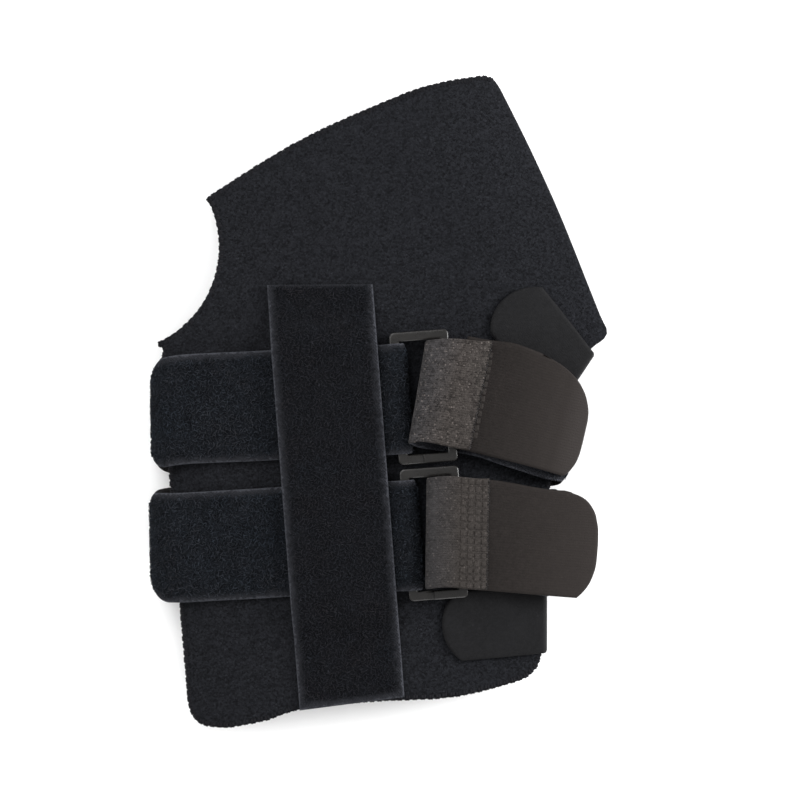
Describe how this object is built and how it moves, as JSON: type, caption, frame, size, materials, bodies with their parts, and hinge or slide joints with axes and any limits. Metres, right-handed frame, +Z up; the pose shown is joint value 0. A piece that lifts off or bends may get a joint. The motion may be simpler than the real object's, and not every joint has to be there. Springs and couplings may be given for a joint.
{
  "type": "ankle brace",
  "caption": "Wrap-round ankle brace lying flat: foam-cloth sleeve with an open heel, loop-tape straps turned back through flat rings and fastened with hook tabs.",
  "frame": {"origin": "bottom centre of the lying brace, on the surface that it rests on", "axes": "+Y along the leg from the hem towards the foot end, +X along the straps towards the rings' side, +Z up, out of the front"},
  "size_m": [0.1637, 0.2167, 0.0263],
  "materials": {
    "foam_cloth": "matte brushed cloth over foam rubber, near black",
    "loop_tape": "matte loop pile, near black, with smooth woven edges",
    "ring_metal": "dark plated metal, satin, bright at worn edges",
    "hook_tape": "brown-grey ribbed back of hook tape",
    "closure_tape": "grey woven back of hook tape"
  },
  "bodies": {
    "root": {"sleeve": "foam_cloth", "pile_strip": "loop_tape", "strap_upper": "loop_tape", "strap_lower": "loop_tape", "ring_upper": "ring_metal", "ring_lower": "ring_metal", "hook_tab_upper": "hook_tape", "hook_tab_lower": "hook_tape", "closure_tab_upper": "closure_tape", "closure_tab_lower": "closure_tape"}
  },
  "joints": []
}
